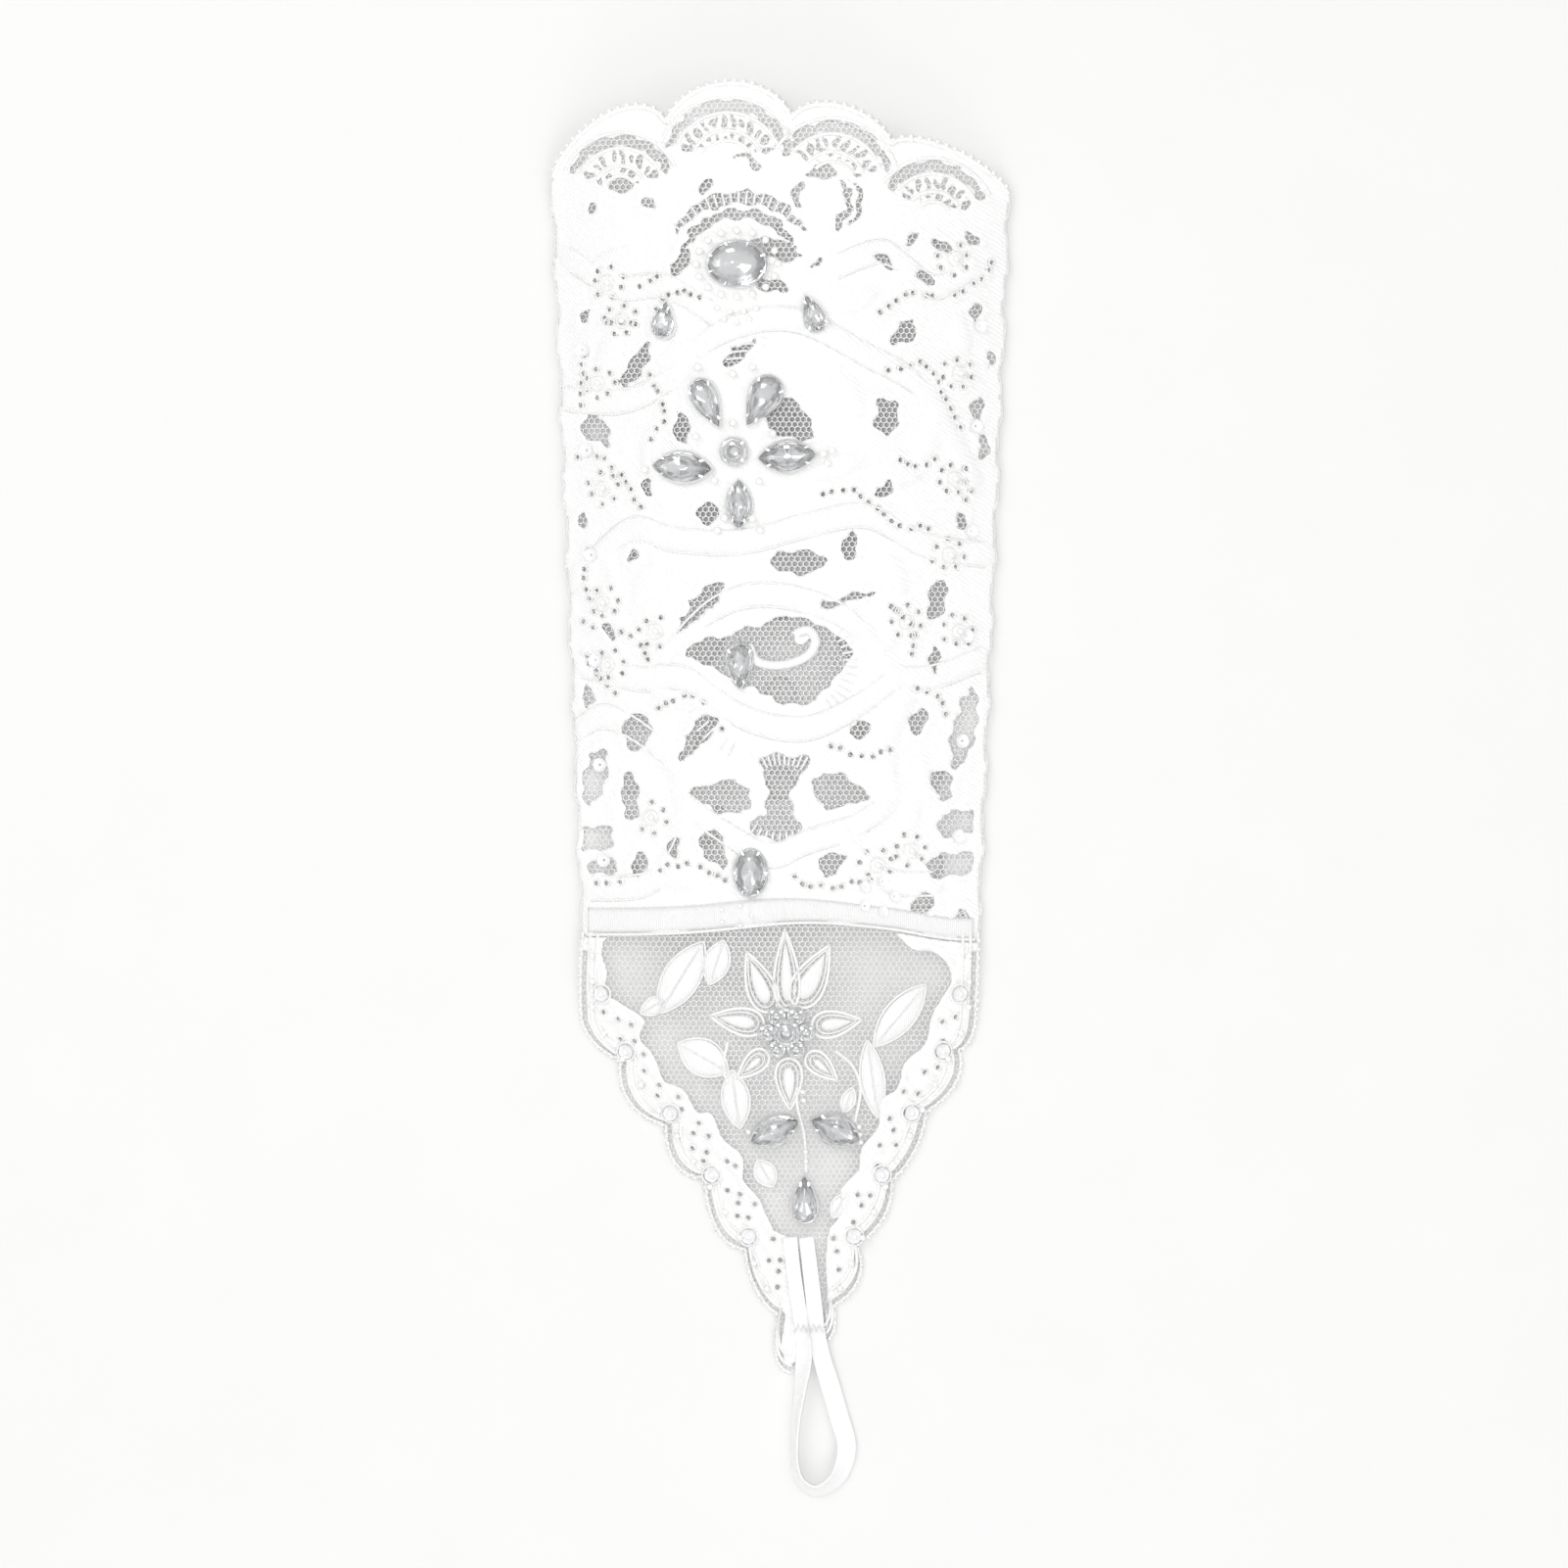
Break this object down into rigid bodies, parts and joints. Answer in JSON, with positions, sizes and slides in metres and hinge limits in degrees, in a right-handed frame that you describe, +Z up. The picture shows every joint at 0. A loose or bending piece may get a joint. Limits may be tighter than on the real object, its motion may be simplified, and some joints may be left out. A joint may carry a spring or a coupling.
{
  "type": "fingerless lace bridal glove",
  "caption": "Fingerless ivory-white lace bridal glove lying flat, with a scalloped elbow end, rhinestone motifs, a pointed tulle back-of-hand panel and a ribbon finger loop.",
  "frame": {"origin": "centre of the glove's footprint on the surface it lies on", "axes": "+Y along the glove towards the elbow end, +X across it with the back of the hand upwards, +Z up off the surface it lies on"},
  "size_m": [0.0973, 0.2973, 0.0167],
  "materials": {
    "lace_cloth": "matte",
    "tulle_net": "matte",
    "gimp_cord": "satin",
    "satin_stitch": "satin",
    "satin_ribbon": "satin",
    "rhinestone": "polished",
    "silver_setting": "polished",
    "seed_bead": "polished",
    "sequin": "polished"
  },
  "bodies": {
    "forearm": {"front_lace_panel": "lace_cloth", "palm_lace_panel": "lace_cloth", "elbow_scallops_front": "lace_cloth", "elbow_scallops_palm": "lace_cloth", "scallop_cord_front": "gimp_cord", "scallop_cord_palm": "gimp_cord", "side_seam_left": "gimp_cord", "side_seam_right": "gimp_cord", "palm_wrist_hem": "lace_cloth", "wrist_band": "satin_stitch", "crown_stone": "rhinestone", "crown_setting": "silver_setting", "crown_beads": "seed_bead", "drop_stones": "rhinestone", "drop_settings": "silver_setting", "blossom_stones": "rhinestone", "blossom_settings": "silver_setting", "blossom_centre_stone": "rhinestone", "blossom_beads": "seed_bead", "pendant_stone": "rhinestone", "pendant_setting": "silver_setting", "wrist_stone": "rhinestone", "wrist_setting": "silver_setting", "sleeve_sequins_left": "sequin", "sleeve_sequins_right": "sequin"},
    "hand_point": {"hand_point_panel": "tulle_net", "point_trim_left": "lace_cloth", "point_trim_right": "lace_cloth", "point_sequins": "sequin", "point_beads": "seed_bead", "hand_flower_petals": "satin_stitch", "hand_flower_stones": "rhinestone", "hand_leaves": "satin_stitch", "leaf_stones": "rhinestone", "leaf_settings": "silver_setting", "tip_stone": "rhinestone", "tip_setting": "silver_setting", "loop_tail": "satin_ribbon", "loop_tack": "satin_stitch"},
    "finger_loop": {"finger_loop": "satin_ribbon"}
  },
  "joints": [
    {"name": "wrist_flex", "type": "hinge", "parent": "forearm", "child": "hand_point", "pos_m": [0, -0.03, 0.0075], "axis": [-1, 0, 0], "range_deg": [-40, 80]},
    {"name": "loop_swing", "type": "hinge", "parent": "hand_point", "child": "finger_loop", "pos_m": [0.0066, -0.1169, 0.0006], "axis": [-1, 0, 0], "range_deg": [-60, 90]}
  ]
}
